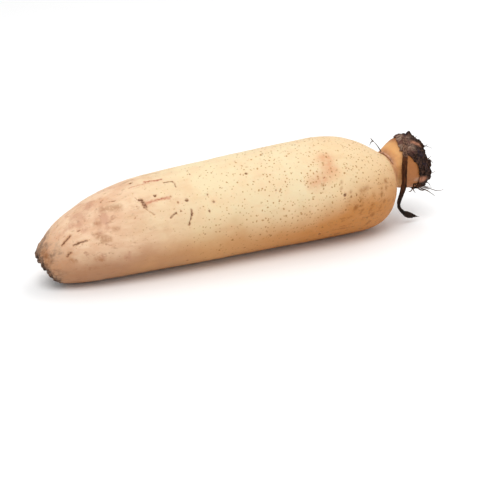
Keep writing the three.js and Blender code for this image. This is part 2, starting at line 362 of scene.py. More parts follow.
def spline(rows, share):
    """A smooth curve through rows of numbers, share 0 to 1 from the first to the last."""
    at = clamp(share) * (len(rows) - 1)
    i = min(int(at), len(rows) - 2)
    t = at - i
    before = rows[i - 1] if i else [2 * a - b for a, b in zip(rows[0], rows[1])]
    after = rows[i + 2] if i + 2 < len(rows) else [2 * a - b for a, b in zip(rows[-1], rows[-2])]
    return [
        0.5 * (2 * b + (c - a) * t + (2 * a - 5 * b + 4 * c - d) * t**2 + (3 * b - a - 3 * c + d) * t**3)
        for a, b, c, d in zip(before, rows[i], rows[i + 1], after)
    ]


def ring_table():
    """Rings at every quarter millimetre of x, from the first station to past the last."""
    count = 3000
    rings = [spline(STATIONS, i / count) for i in range(count + 1)]
    table_rows = []
    i = 0
    x = STATIONS[0][0]
    while x <= STATIONS[-1][0]:
        while i < count - 1 and rings[i + 1][0] < x:
            i += 1
        low, high = rings[i], rings[i + 1]
        share = clamp((x - low[0]) / max(high[0] - low[0], 1e-6))
        table_rows.append(tuple(between(a, b, share) for a, b in zip(low, high)))
        x += 0.25
    return table_rows


RINGS = ring_table()


def ring_at(x):
    """The flesh's ring at x: (x, y, z, radius). Past the last station it keeps the last ring's size."""
    at = clamp((x - STATIONS[0][0]) * 4, 0, len(RINGS) - 1.001)
    i = int(at)
    return (x, *(between(a, b, at - i) for a, b in zip(RINGS[i][1:], RINGS[i + 1][1:])))


def around(ring, out, angle):
    """The point, in mm, at a distance out from a ring's middle, at an angle round it."""
    x, y, z = ring[:3]
    a = math.radians(angle)
    lean = NODE_LEAN * smooth(x, NODE_LEAN_FROM, NODE_LEAN_TO)
    return Vector((x - lean * out * math.sin(a), y + out * math.cos(a), z + out * math.sin(a)))


def above(x, height, angle):
    """The point, in mm, at a height above the flesh."""
    ring = ring_at(x)
    return around(ring, ring[3] + height, angle)


def camera_directions():
    """The camera's right, up and back directions."""
    a, e = math.radians(CAMERA_AZIMUTH), math.radians(CAMERA_ELEVATION)
    back = Vector((math.sin(a) * math.cos(e), -math.cos(a) * math.cos(e), math.sin(e)))
    right = Vector((math.cos(a), math.sin(a), 0))
    return right, back.cross(right), back


def line_of_sight(column, row):
    """The camera's place, in mm, and the direction from it to a point of the photograph."""
    right, up, back = camera_directions()
    half, deep = PHOTO_SIDE / 2, PHOTO_SIDE * CAMERA_LENS / CAMERA_SENSOR
    forward = right * (column - half) + up * (half - row) - back * deep
    return CAMERA_TARGET + back * CAMERA_DISTANCE, forward.normalized()


def seen_at_y(column, row, y):
    """The point, in mm, that is seen at a point of the photograph and has this y."""
    eye, forward = line_of_sight(column, row)
    return tuple(eye + forward * ((y - eye.y) / forward.y))


def seen_on_skin(column, row):
    """The place (x, angle) of the flesh that is seen at a point of the photograph."""
    eye, forward = line_of_sight(column, row)
    distance = SIGHT_FROM
    while distance < SIGHT_TO:
        point = eye + forward * distance
        ring = ring_at(point.x)
        across, up = point.y - ring[1], point.z - ring[2]
        if math.hypot(across, up) < ring[3]:
            return round(point.x, 1), round(math.degrees(math.atan2(up, across)) % 360, 1)
        distance += SIGHT_STEP
    raise ValueError(f"no flesh is seen at column {column}, row {row}")


def swelling(x, angle):
    """The slow swellings of the body, in mm. They fade out underneath, where the root lies flat."""
    a = math.radians(angle)
    slow = math.sin(2 * a + x / 52 + 0.6) + 0.6 * math.sin(3 * a - x / 31 + 2)
    fade = smooth(x, SWELLING_FROM, SWELLING_FROM + 30) * (1 - smooth(x, SWELLING_TO - 30, SWELLING_TO))
    return SWELLING * slow * fade * (1 - max(0, -math.sin(a)) ** 6)


def deselect():
    for o in bpy.context.selected_objects:
        o.select_set(False)


def only(piece):
    """Selects one piece and makes it the active one."""
    deselect()
    piece.select_set(True)
    bpy.context.view_layer.objects.active = piece
    return piece


def added(name):
    """The piece that an operator has just added, under its own name."""
    piece = bpy.context.object
    piece.name = name
    piece.data.name = name
    return piece


def apply_modifier(piece, kind, **settings):
    only(piece)
    modifier = piece.modifiers.new(kind.lower(), kind)
    for key, value in settings.items():
        setattr(modifier, key, value)
    bpy.ops.object.modifier_apply(modifier=modifier.name)


def place_in_mesh(piece):
    """Puts the piece's place in its mesh, so that its object is at the origin, unturned and unscaled."""
    only(piece)
    bpy.ops.object.transform_apply(location=True, rotation=True, scale=True)


def finished(piece, material, *nodes, slot):
    """Gives a piece its material and smooth shading, puts it in the root's body and hides the CAD nodes it
    stands for.
    """
    piece.data.materials.clear()
    piece.data.materials.append(material)
    only(piece)
    bpy.ops.object.shade_smooth()
    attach(piece, "root")
    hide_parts(*nodes)
    return piece


# The flesh
def draw_out_flesh():
    """A disc drawn out along the root, ring by ring, each ring moved to its middle and resized."""
    count = (len(STATIONS) - 1) * RINGS_PER_STATION + 1
    rings = [spline(STATIONS, i / (count - 1)) for i in range(count)]
    rings.append((rings[-1][0] + 4, *rings[-1][1:]))
    x, y, z, radius = rings[0]
    bpy.ops.mesh.primitive_circle_add(
        vertices=FLESH_SIDES,
        radius=radius * MM,
        fill_type="NGON",
        location=Vector((x, y, z)) * MM,
        rotation=(0, math.pi / 2, 0),
    )
    flesh = added("lotus_root_flesh")
    place_in_mesh(flesh)
    bpy.ops.object.mode_set(mode="EDIT")
    bpy.ops.mesh.select_all(action="SELECT")
    for before, ring in zip(rings, rings[1:]):
        step = Vector(ring[:3]) - Vector(before[:3])
        bpy.ops.mesh.extrude_region_move(TRANSFORM_OT_translate={"value": step * MM})
        grow = ring[3] / before[3]
        bpy.ops.transform.resize(value=(1, grow, grow), center_override=Vector(ring[:3]) * MM)
    bpy.ops.mesh.select_all(action="SELECT")
    bpy.ops.mesh.normals_make_consistent(inside=False)
    bpy.ops.object.mode_set(mode="OBJECT")
    return flesh


def cut_end(piece, point, outward):
    """Cuts off all that is past a plane, with a block whose face lies in that plane."""
    middle = point + outward * END_BLOCK / 2
    deselect()
    bpy.ops.mesh.primitive_cube_add(
        size=END_BLOCK * MM, location=middle * MM, rotation=outward.to_track_quat("Z", "Y").to_euler()
    )
    block = added("end_block")
    place_in_mesh(block)
    apply_modifier(piece, "BOOLEAN", object=block, operation="DIFFERENCE", solver="EXACT")
    bpy.data.objects.remove(block)


def channel_drills(mouth, outward, across, channels):
    """Tapered drills for one end's air channels, joined into one piece."""
    up = outward.cross(across)
    spots = [(mouth, channels["middle"])]
    for i in range(channels["count"]):
        a = math.radians(i / channels["count"] * 360 + CHANNEL_TURN)
        radius = channels["radius"] * (1 + CHANNEL_UNEVEN * math.sin(2.4 * i))
        spots.append((mouth + (across * math.cos(a) + up * math.sin(a)) * channels["circle"], radius))
    drills = []
    for spot, radius in spots:
        middle = spot + outward * (DRILL_CLEAR - channels["depth"]) / 2
        bpy.ops.mesh.primitive_cone_add(
            vertices=CHANNEL_SIDES,
            radius1=radius * CHANNEL_TAPER * MM,
            radius2=radius * CHANNEL_FLARE * MM,
            depth=(channels["depth"] + DRILL_CLEAR) * MM,
            location=middle * MM,
            rotation=outward.to_track_quat("Z", "Y").to_euler(),
        )
        drills.append(added("channel_drill"))
    for drill in drills:
        drill.select_set(True)
    bpy.ops.object.join()
    place_in_mesh(bpy.context.object)
    return bpy.context.object


def drill_channels(piece, *ends):
    for end in ends:
        drills = channel_drills(*end)
        apply_modifier(piece, "BOOLEAN", object=drills, operation="DIFFERENCE", solver="EXACT")
        bpy.data.objects.remove(drills)


def line_distances(points, line):
    """The distance in mm of each point from a line through places (x, angle) on the skin."""
    ends = [above(x, 0, angle) for x, angle in line]
    if len(ends) == 1:
        return np.linalg.norm(points - np.array(ends[0]), axis=1)
    nearest = np.full(len(points), 1e9)
    for start, end in zip(ends, ends[1:]):
        start = np.array(start)
        along = np.array(end) - start
        share = np.clip((points - start) @ along / (along @ along), 0, 1)
        nearest = np.minimum(nearest, np.linalg.norm(points - start - share[:, None] * along, axis=1))
    return nearest


def mask_of(points, lines):
    """For each point in mm, how far it is inside the nearest of the lines: 0 outside to 1 inside."""
    mask = np.zeros(len(points))
    for half_width, softness, line in lines:
        inside = half_width + softness - line_distances(points, line)
        share = np.clip(inside / (2 * softness), 0, 1)
        mask = np.maximum(mask, share * share * (3 - 2 * share))
    return mask


def hidden_side_marks():
    """Scratches and spots for the far side and the underside, drawn by a seeded rule."""
    draw = random.Random(HIDDEN_SIDE["seed"])
    angles, softness = HIDDEN_SIDE["angles"], HIDDEN_SIDE["softness"]
    marks = []
    for _ in range(HIDDEN_SIDE["cracks"]):
        x, angle = draw.uniform(-98, 84), draw.uniform(*angles)
        length, turn = draw.uniform(2, 8), draw.uniform(-9, 9)
        line = ((x, angle), (x + length / 2, angle + turn / 3), (x + length, angle + turn))
        marks.append((draw.uniform(0.3, 0.55), softness, line))
    for _ in range(HIDDEN_SIDE["spots"]):
        half_width = draw.uniform(0.5, 1.0)
        marks.append((half_width, softness, ((draw.uniform(-60, 92), draw.uniform(*angles)),)))
    return tuple(marks)


def on_skin(lines):
    """Lines through points of the photograph, as lines through places (x, angle) of the skin."""
    return tuple(
        (half_width, softness, tuple(seen_on_skin(*pixel) for pixel in line))
        for half_width, softness, line in lines
    )


def spots_on_skin(spots, softness):
    """Spots of the photograph, as lines of one place each."""
    return on_skin((half_width, softness, (pixel,)) for half_width, *pixel in spots)


def mark_sets():
    """Each set of marks, as half width, softness and the line's places (x, angle)."""
    dark_seen = on_skin(DARK_CRACKS) + spots_on_skin(DARK_SPOTS, SPOT_SOFTNESS["dark"])
    return {
        "red_scratch": on_skin(RED_SCRATCHES),
        "dark_mark": dark_seen + hidden_side_marks(),
        "bruise": on_skin(BRUISE),
        "brown_patch": on_skin(BROWN_PATCHES) + BROWN_SHADES,
        "brown_spot": spots_on_skin(BROWN_SPOTS, SPOT_SOFTNESS["brown"]),
        "pale_tissue": PALE_TISSUE,
    }


def vertex_points(piece):
    points = np.empty(len(piece.data.vertices) * 3)
    piece.data.vertices.foreach_get("co", points)
    return points.reshape(-1, 3) / MM


def grown(lines, by):
    """The same lines, wider and with sharp edges. by(half width, softness) is how far they reach."""
    return [(by(half_width, softness), 0.1, line) for half_width, softness, line in lines]


def refine_near_marks(piece, sets, rounds):
    """Halves the faces round the fine marks, so that their edges come out sharp."""
    fine = grown(sets["red_scratch"] + sets["dark_mark"], lambda half_width, softness: half_width + 0.8)
    for _ in range(rounds):
        near = mask_of(vertex_points(piece), fine) > 0.5
        only(piece)
        bpy.ops.object.mode_set(mode="EDIT")
        bpy.ops.mesh.select_mode(type="VERT")
        bpy.ops.mesh.select_all(action="DESELECT")
        bpy.ops.object.mode_set(mode="OBJECT")
        piece.data.vertices.foreach_set("select", near)
        bpy.ops.object.mode_set(mode="EDIT")
        bpy.ops.mesh.subdivide(number_cuts=1)
        bpy.ops.object.mode_set(mode="OBJECT")


def wandered(point):
    """A point in mm moved a little aside, so that the edges of the marks wander."""
    return point + MARK_EDGE["wander"] * noise.noise_vector(point / MARK_EDGE["size"])


def keep_attribute(piece, name, values):
    attribute = piece.data.attributes.new(name, "FLOAT", "POINT")
    attribute.data.foreach_set("value", values.astype(np.float32))


def paint_marks(piece, sets):
    """Keeps each set of marks as an attribute, with wandering edges, and presses the red and dark ones in."""
    points = vertex_points(piece)
    wide = np.zeros(len(points), dtype=bool)
    for lines in sets.values():
        wide |= mask_of(points, grown(lines, lambda half_width, softness: half_width + softness + 1.5)) > 0
    near = np.flatnonzero(wide)
    near_points = np.array([wandered(Vector(points[i])) for i in near])
    masks = {name: mask_of(near_points, lines) for name, lines in sets.items()}
    masks["brown_spot"] = np.maximum(masks["brown_spot"], FAINT * masks.pop("brown_patch"))
    press = np.zeros(len(points))
    for name, near_mask in masks.items():
        mask = np.zeros(len(points))
        mask[near] = near_mask
        keep_attribute(piece, name, mask)
        press = np.maximum(press, mask * MARK_DEPTH.get(name, 0))
    normals = np.empty(len(points) * 3)
    piece.data.vertices.foreach_get("normal", normals)
    points = points - normals.reshape(-1, 3) * press[:, None]
    piece.data.vertices.foreach_set("co", (points * MM).ravel())
    piece.data.update()


def worked(point):
    """The flesh's small unevenness at a point of its surface, in mm outwards."""
    x = point.x
    ring = ring_at(x)
    angle = math.degrees(math.atan2(point.z - ring[2], point.y - ring[1]))
    body = swelling(x, angle)
    body += 0.22 * noise.noise(point / 17) + 0.07 * noise.noise(point / 5)
    tail = 1 - smooth(x, -112, -97)
    body += tail * (0.45 * noise.noise(point / 3.4) + 0.45 * noise.noise(point / 1.6) - 0.35)
    scar = smooth((point - TAIL_SCAR).dot(TAIL_OUTWARD), -3.5, -0.8)
    body += scar * (1.3 * noise.noise(point / 2.4) + 0.5 * noise.noise(point / 1.2) - 0.55)
    crease = math.exp(-(((x - 106.2) / 2.6) ** 2))
    body += crease * 0.16 * math.sin(math.radians(angle) * 34 + 4 * noise.noise(point / 6))
    node = smooth(x, 110, 116)
    ribs = math.sin(math.radians(angle) * 40 + 3 * noise.noise(point / 5))
    body += node * (0.2 * noise.noise(point / 6) + 0.08 * ribs)
    return body


def make_flesh():
    flesh = draw_out_flesh()
    cut_end(flesh, TAIL_SCAR, TAIL_OUTWARD)
    node_outward = Vector((1, 0, NODE_LEAN)).normalized()
    cut_end(flesh, NODE_CUT, node_outward)
    drill_channels(
        flesh,
        (TAIL_SCAR, TAIL_OUTWARD, TAIL_ACROSS, TAIL_CHANNELS),
        (NODE_CUT, node_outward, Vector((0, 1, 0)), NODE_CHANNELS),
    )
    apply_modifier(flesh, "REMESH", mode="VOXEL", voxel_size=FLESH_VOXEL * MM)
    apply_modifier(flesh, "SMOOTH", factor=0.5, iterations=3)
    sets = mark_sets()
    refine_near_marks(flesh, sets, 2)
    normals = [v.normal.copy() for v in flesh.data.vertices]
    for v, normal in zip(flesh.data.vertices, normals):
        point = v.co / MM
        point += normal * worked(point)
        point.z = max(point.z, 0)
        v.co = point * MM
    flesh.data.update()
    paint_marks(flesh, sets)
    return flesh


# Sheets and tubes
def sheet(name, columns, rows, place):
    """A grid drawn into shape: place(across, along), both 0 to 1, gives each crossing's point in mm."""
    bpy.ops.mesh.primitive_grid_add(x_subdivisions=columns, y_subdivisions=rows, size=1, location=(0, 0, 0))
    piece = added(name)
    for v in piece.data.vertices:
        v.co = place(v.co.x + 0.5, v.co.y + 0.5) * MM
    close_seams(piece)
    return piece


def close_seams(piece):
    only(piece)
    bpy.ops.object.mode_set(mode="EDIT")
    bpy.ops.mesh.select_all(action="SELECT")
    bpy.ops.mesh.remove_doubles(threshold=0.004 * MM)
    bpy.ops.mesh.dissolve_degenerate(threshold=0.001 * MM)
    bpy.ops.mesh.select_all(action="SELECT")
    bpy.ops.mesh.normals_make_consistent(inside=False)
    bpy.ops.object.mode_set(mode="OBJECT")


def route_point(route, share):
    return Vector(spline(route, share))


def tube(name, route, half_sizes, facing, sides=12, steps=40):
    """A closed strand along a route in mm. half_sizes(along) gives its half width and half thickness."""

    def place(across, along):
        middle = route_point(route, along)
        forward = (route_point(route, along + 0.01) - route_point(route, along - 0.01)).normalized()
        side = Vector(facing).cross(forward).normalized()
        out = forward.cross(side)
        turn = math.tau * across
        half_width, half_thick = half_sizes(along)
        return middle + side * (math.cos(turn) * half_width) + out * (math.sin(turn) * half_thick)

    return sheet(name, sides, steps, place)


def join(pieces, name):
    """Joins pieces into the first."""
    only(pieces[0])
    for piece in pieces:
        piece.select_set(True)
    bpy.ops.object.join()
    pieces[0].name = name
    return pieces[0]


# The torn sheath
def table(rows, at):
    """A value read from rows of (at, value), in a straight line between them."""
    for (a, low), (b, high) in zip(rows, rows[1:]):
        if a <= at <= b:
            return between(low, high, (at - a) / (b - a))
    return rows[-1][1]


def sheath_reach(angle):
    return table(SHEATH_REACH, angle % 360)


def tooth(angle, size, seed):
    """A ragged edge's height at an angle round the root, about -1 to 1. size is a tooth's degrees."""
    a = math.radians(angle)
    at = Vector((math.cos(a), math.sin(a), 0)) * (57 / size)
    return noise.noise(at + Vector((seed, 0, seed))) + 0.6 * noise.noise(at * 2.7 + Vector((0, seed, seed)))


def sheath_layer(name, first, last, reach, end, height, crumple, columns, rows, seed):
    """One torn layer wrapped on the node, from its ragged edge to the cut."""

    def place(across, along):
        angle = between(first, last, across)
        start = SHEATH_END - reach(angle) + 1.3 * tooth(angle, 14, seed)
        x = between(start, end + 0.9 * tooth(angle, 9, seed + 5), along)
        a = math.radians(angle)
        at = Vector((x / 3.2, math.cos(a) * 4.2, math.sin(a) * 4.2)) + Vector((seed, seed, 0))
        fibres = noise.noise(Vector((x / 9, math.cos(a) * 22, math.sin(a) * 22)) + Vector((seed, 0, 0)))
        lift = height(angle, along) + crumple * (noise.noise(at) + 0.5 * noise.noise(at * 2.3)) + 0.3 * fibres
        return above(min(x, SHEATH_END + 1.2), max(lift, 0.2), angle)

    return sheet(name, columns, rows, place)


def make_sheath():
    """The dry sheath: a fibrous layer over the top of the node and darker crumpled flaps round its cut."""

    def fibrous_height(angle, along):
        knot = 4.0 * math.exp(-(((angle - 96) / 8) ** 2) - ((along - 0.7) / 0.13) ** 2)
        return 0.6 + 0.5 * math.sin(math.pi * (0.1 + 0.8 * along)) + knot

    end = SHEATH_END + 0.2
    layers = [sheath_layer("fibrous_layer", 0, 360, sheath_reach, end, fibrous_height, 0.5, 320, 36, 3)]
    for i, flap in enumerate(FLAPS):
        first, last = flap["angles"]

        def flap_height(angle, along, flap=flap):
            bulge = 0.7 * max(0, tooth(angle, 26, flap["seed"]))
            return flap["height"] + bulge + 0.6 * along * max(0, tooth(angle, 12, flap["seed"] + 2))

        def flap_reach(angle, flap=flap):
            return table(flap["reach"], angle)

        end, columns = SHEATH_END + flap["past"], int((last - first) * 1.3)
        size = (columns, 26)
        shape = (flap_reach, end, flap_height, flap["crumple"])
        layers.append(sheath_layer(f"dark_flap_{i}", first, last, *shape, *size, flap["seed"]))
    sheath = join(layers, "torn_sheath")
    keep_attribute(sheath, "torn_pink", mask_of(vertex_points(sheath), TORN_PINK))
    apply_modifier(sheath, "SOLIDIFY", thickness=SHEATH_THICK * MM, offset=0)
    return sheath


def rootlet(name, route, radius, seed):
    """A thin dry root through points in mm, a little crooked, ending in a point."""

    def half_sizes(along):
        size = radius * (1 - 0.75 * along) * (1 + 0.25 * noise.noise(Vector((along * 9, seed, 0))))
        size *= smooth(1 - along, 0, 0.04) if along > 0.9 else 1
        return size, size * 0.85

    return tube(name, route, half_sizes, (0.31, 0.87, 0.38), 8, 22)


def make_rootlets():
    """The node's roots: a seeded ring of short broken ones round the cut, and those that stand clear."""
    draw = random.Random(ROOTLETS["seed"])
    roots = []
    for i in range(ROOTLETS["count"]):
        angle = i / ROOTLETS["count"] * 360 + draw.uniform(-9, 9)
        low = 0.5 - 0.5 * math.sin(math.radians(angle))
        length = draw.uniform(2.5, 5.5) + 5 * low * draw.random()
        lean = draw.uniform(0.3, 0.8) + 0.5 * low
        swing = draw.uniform(-16, 16)
        ring = ring_at(SHEATH_END - draw.uniform(0.8, 2.6))
        route = []
        for share in (0, 0.3, 0.65, 1):
            forward = (ring[0] + length * share * lean, *ring[1:])
            out = ring[3] + 0.8 + length * share * (0.8 - 0.4 * share)
            route.append(around(forward, out, angle + swing * share * share))
        roots.append(rootlet(f"rootlet_{i}", route, draw.uniform(0.2, 0.42), i))
    for i, (radius, places) in enumerate(CLEAR_ROOTS):
        route = [seen_at_y(*place) for place in places]
        roots.append(rootlet(f"clear_root_{i}", route, radius, 50 + i))
    return join(roots, "rootlets")


def make_hanging_root():
    """The long dry root: a wrinkled strip of the sheath, down over the node, with a leaf-shaped tip."""

    def half_sizes(along):
        from_leaf = (along - HANGING_LEAF["at"]) / HANGING_LEAF["spread"]
        leaf = HANGING_LEAF["swell"] * math.exp(-(from_leaf**2))
        body = 1.75 - 0.5 * smooth(along, 0.02, 0.2) - 0.5 * smooth(along, 0.5, 0.72)
        point = 1 - 0.95 * smooth(along, 0.93, 1)
        scale = (body + leaf) * point
        ends = smooth(along, 0, 0.03) * smooth(1 - along, 0, 0.01)
        wrinkle = 1 + 0.16 * noise.noise(Vector((along * 26, 3, 0)))
        return HANGING_HALF_WIDTH * scale * ends * wrinkle, HANGING_HALF_THICK * (0.4 + 0.5 * scale) * ends

    root = tube("hanging_root", HANGING_ROUTE, half_sizes, (-0.25, -1, 0.1), 28, 220)
    for v in root.data.vertices:
        point = v.co / MM
        folds = 0.22 * noise.noise(Vector((point.x / 0.8, point.y / 0.8, point.z / 5)))
        v.co += v.normal * (folds + 0.1 * noise.noise(point / 0.9)) * MM
    root.data.update()
    return root


def make_scale():
    """The dry scale in the top of the crease: a thin frayed band."""
    low, high = SCALE["angles"]
    route = [above(SCALE["x"], SCALE["height"], between(low, high, i / 8)) for i in range(9)]

    def half_sizes(along):
        narrow = 0.35 + 0.65 * max(math.sin(math.pi * along), 0) ** 0.5
        ends = smooth(along, 0, 0.03) * smooth(1 - along, 0, 0.03)
        frayed = 1 + 0.5 * noise.noise(Vector((along * 22, 0, 4)))
        return SCALE["half_width"] * narrow * ends * frayed, SCALE["half_thick"] * ends

    return tube("dry_scale_band", route, half_sizes, (0, 0, 1), 14, 90)


def make_scale_root():
    """The forked root that stands up from the dry scale."""
    roots = []
    for i, branch in enumerate(SCALE_FORK):
        roots.append(rootlet(f"scale_root_{i}", branch, SCALE_FORK_RADIUS, 80 + i))
    return join(roots, "scale_root")


# Materials are wired by this short hand: it adds a node, sets what it is given and joins what is a socket.
class Wiring:
    def __init__(self, tree):
        self.tree = tree

    def add(self, kind, values=None, **settings):
        node = self.tree.nodes.new(kind)
        for key, value in settings.items():
            setattr(node, key, value)
        for key, value in (values or {}).items():
            if isinstance(value, bpy.types.NodeSocket):
                self.tree.links.new(value, node.inputs[key])
            else:
                node.inputs[key].default_value = value
        return node

    def maths(self, operation, a, b=0.0, clamped=False):
        return self.add("ShaderNodeMath", {0: a, 1: b}, operation=operation, use_clamp=clamped).outputs[0]

    def vectors(self, operation, a, b=(0, 0, 0)):
        return self.add("ShaderNodeVectorMath", {0: a, 1: b}, operation=operation).outputs[0]

    def ramp(self, value, low, high, out_low=0.0, out_high=1.0):
        """A smooth step of a value from low to high."""
        node = self.add(
            "ShaderNodeMapRange",
            {"Value": value, "From Min": low, "From Max": high, "To Min": out_low, "To Max": out_high},
            interpolation_type="SMOOTHSTEP",
        )
        return node.outputs["Result"]

    def mix(self, factor, a, b, blend="MIX"):
        """a where factor is 0 and b where it is 1."""
        node = self.add("ShaderNodeMix", {0: factor, 6: a, 7: b}, data_type="RGBA", blend_type=blend)
        return node.outputs[2]

    def noise(self, at, size_mm, detail=3.0, roughness=0.5, stretch=(1, 1, 1)):
        """Noise whose blobs are about size_mm wide, over the coordinates given, in metres."""
        scale = tuple(s / (size_mm * MM) for s in stretch)
        turned = self.vectors("MULTIPLY", at, scale)
        values = {"Vector": turned, "Scale": 1.0, "Detail": detail, "Roughness": roughness}
        return self.add("ShaderNodeTexNoise", values).outputs["Fac"]

    def spots(self, at, size_mm, seed=0.0):
        """Cells about size_mm wide: the distance to each one's middle in cell widths, and a colour for it."""
        moved = self.vectors("ADD", at, (seed, seed * 0.7, seed * 1.3))
        node = self.add("ShaderNodeTexVoronoi", {"Vector": moved, "Scale": 1 / (size_mm * MM)})
        return node.outputs["Distance"], node.outputs["Color"]


def colour(red, green, blue):
    """A colour given as it looks on a screen, 0 to 255, as the linear colour that a material takes."""
    linear = [c / 255 / 12.92 if c <= 10 else ((c / 255 + 0.055) / 1.055) ** 2.4 for c in (red, green, blue)]
    return (*linear, 1.0)


def new_material(name):
    material = bpy.data.materials.new(name)
    material.use_nodes = True
    tree = material.node_tree
    tree.nodes.clear()
    wiring = Wiring(tree)
    shader = wiring.add("ShaderNodeBsdfPrincipled")
    wiring.add("ShaderNodeOutputMaterial", {"Surface": shader.outputs[0]})
    place = wiring.add("ShaderNodeTexCoord").outputs["Object"]
    return material, wiring, shader, place


def skin_material():
    """The flesh's skin: its tones along and round the root, the marks, the pores, the node and both ends."""
    material, w, shader, place = new_material("lotus_root_skin")
    split = w.add("ShaderNodeSeparateXYZ", {0: place})
    x_mm = w.maths("DIVIDE", split.outputs[0], MM)
    z_mm = w.maths("DIVIDE", split.outputs[2], MM)

    wobble = w.add("ShaderNodeTexNoise", {"Vector": place, "Scale": 1 / (2.2 * MM), "Detail": 2.0})
    wobble = w.vectors("SUBTRACT", wobble.outputs["Color"], (0.5, 0.5, 0.5))
    wobble = w.vectors("MULTIPLY", wobble, (1.7 * MM, 1.7 * MM, 1.7 * MM))
    rough_place = w.vectors("ADD", place, wobble)

    blotch = w.noise(place, 30, detail=3)
    patch = w.noise(place, 11, detail=4, roughness=0.6)
    fine = w.noise(place, 3.2, detail=5, roughness=0.6)
    streak = w.noise(place, 7, detail=5, roughness=0.6, stretch=(0.28, 1, 1))

    # The body: cream above, orange-brown below, pinker towards the tail. The orange-brown below is partly the
    # skin's own tone and partly painted shade on the underside.
    uneven_z = w.maths("ADD", z_mm, w.maths("MULTIPLY", w.maths("SUBTRACT", blotch, 0.5), 16))
    uneven_z = w.maths("ADD", uneven_z, w.maths("MULTIPLY", w.maths("SUBTRACT", patch, 0.5), 10))
    uneven_x = w.maths("ADD", x_mm, w.maths("MULTIPLY", w.maths("SUBTRACT", blotch, 0.5), 60))
    cream = w.mix(w.ramp(patch, 0.35, 0.7), colour(250, 229, 186), colour(250, 220, 176))
    cream = w.mix(w.ramp(uneven_x, 30, 90, 0, 0.65), cream, colour(248, 209, 158))
    low = w.mix(w.ramp(uneven_x, -20, 70), colour(216, 160, 104), colour(208, 138, 68))
    low_line = w.maths("SUBTRACT", uneven_z, w.ramp(x_mm, 20, 85, 0, 9))
    # orange-brown low on the body: partly the skin's own tone, partly painted shade on the underside
    base = w.mix(w.ramp(low_line, 38, 13), cream, low)
    tail = w.mix(w.ramp(streak, 0.35, 0.65), colour(250, 214, 178), colour(234, 188, 152))
    tail = w.mix(w.ramp(patch, 0.52, 0.68, 0, 0.7), tail, colour(212, 158, 128))
    # darker brown low on the tail: partly its own colour, partly painted shade on the underside
    tail = w.mix(w.ramp(uneven_z, 28, 11, 0, 0.85), tail, colour(182, 128, 88))
    flecks = w.noise(place, 2.6, detail=4, roughness=0.7, stretch=(0.5, 1, 1))
    tail = w.mix(w.ramp(flecks, 0.56, 0.7, 0, 0.5), tail, colour(168, 116, 82))
    base = w.mix(w.ramp(uneven_x, -22, -80), base, tail)
    base = w.mix(w.ramp(streak, 0.55, 0.8, 0, 0.35), base, colour(226, 172, 124))

    # The tail's last part is greyer and darker, in streaks
    grey = w.ramp(w.maths("ADD", x_mm, w.maths("MULTIPLY", w.maths("SUBTRACT", streak, 0.5), 30)), -101, -110)
    grey_skin = w.mix(w.ramp(flecks, 0.4, 0.6), colour(184, 142, 110), colour(116, 84, 62))
    base = w.mix(w.maths("MULTIPLY", grey, 0.85), base, grey_skin)

    # Marks
    bruise, brown, red, dark, pale = (
        w.add("ShaderNodeAttribute", attribute_name=name).outputs["Fac"]
        for name in ("bruise", "brown_spot", "red_scratch", "dark_mark", "pale_tissue")
    )
    bruised = w.maths("MULTIPLY", bruise, w.ramp(fine, 0.25, 0.7, 0.35, 0.75))
    base = w.mix(bruised, base, colour(230, 160, 116))
    grain = w.noise(place, 1.2, detail=3, roughness=0.6)
    base = w.mix(w.maths("MULTIPLY", brown, w.ramp(grain, 0.3, 0.55, 0.3, 0.85)), base, colour(162, 98, 40))
    base = w.mix(w.maths("MULTIPLY", w.ramp(red, 0, 0.6), 0.4), base, colour(226, 152, 118))
    red_core = w.maths("MULTIPLY", w.ramp(red, 0.3, 0.9), w.ramp(grain, 0.35, 0.6, 0.35, 0.9))
    base = w.mix(red_core, base, colour(184, 98, 68))
    base = w.mix(w.maths("MULTIPLY", w.ramp(dark, 0, 0.5), 0.4), base, colour(204, 148, 104))
    dark_core = w.maths("MULTIPLY", w.ramp(dark, 0.35, 0.95), w.ramp(grain, 0.34, 0.58, 0.35, 0.95))
    base = w.mix(dark_core, base, colour(116, 70, 40))

    # Pores: many small pale ones and fewer dark ones, densest from the middle to the shoulder
    many = w.ramp(uneven_x, -70, 15, 0.35, 1.0)
    lower = w.ramp(uneven_z, 40, 10)
    distance, cell = w.spots(rough_place, 1.85)
    value = w.add("ShaderNodeSeparateColor", {0: cell}).outputs[0]
    radius = w.maths("MULTIPLY", w.ramp(value, 0.1, 1.0, 0.12, 0.3), many)
    pale_pores = w.ramp(w.maths("SUBTRACT", distance, radius), 0.1, -0.1)
    base = w.mix(w.maths("MULTIPLY", pale_pores, 0.85), base, colour(184, 134, 76))
    distance, cell = w.spots(rough_place, 3.6, seed=0.3)
    value = w.add("ShaderNodeSeparateColor", {0: cell}).outputs[1]
    size = w.maths("ADD", w.ramp(value, 0.25, 1.0, -0.04, 0.16), w.maths("MULTIPLY", lower, 0.07))
    radius = w.maths("MULTIPLY", size, many)
    dark_pores = w.ramp(w.maths("SUBTRACT", distance, radius), 0.07, -0.08)
    base = w.mix(w.maths("MULTIPLY", dark_pores, 0.8), base, colour(158, 106, 50))
    mottle = w.maths("MULTIPLY", w.ramp(flecks, 0.53, 0.62), w.maths("MULTIPLY", lower, w.ramp(x_mm, 25, 70)))
    base = w.mix(w.maths("MULTIPLY", mottle, 0.7), base, colour(158, 96, 44))
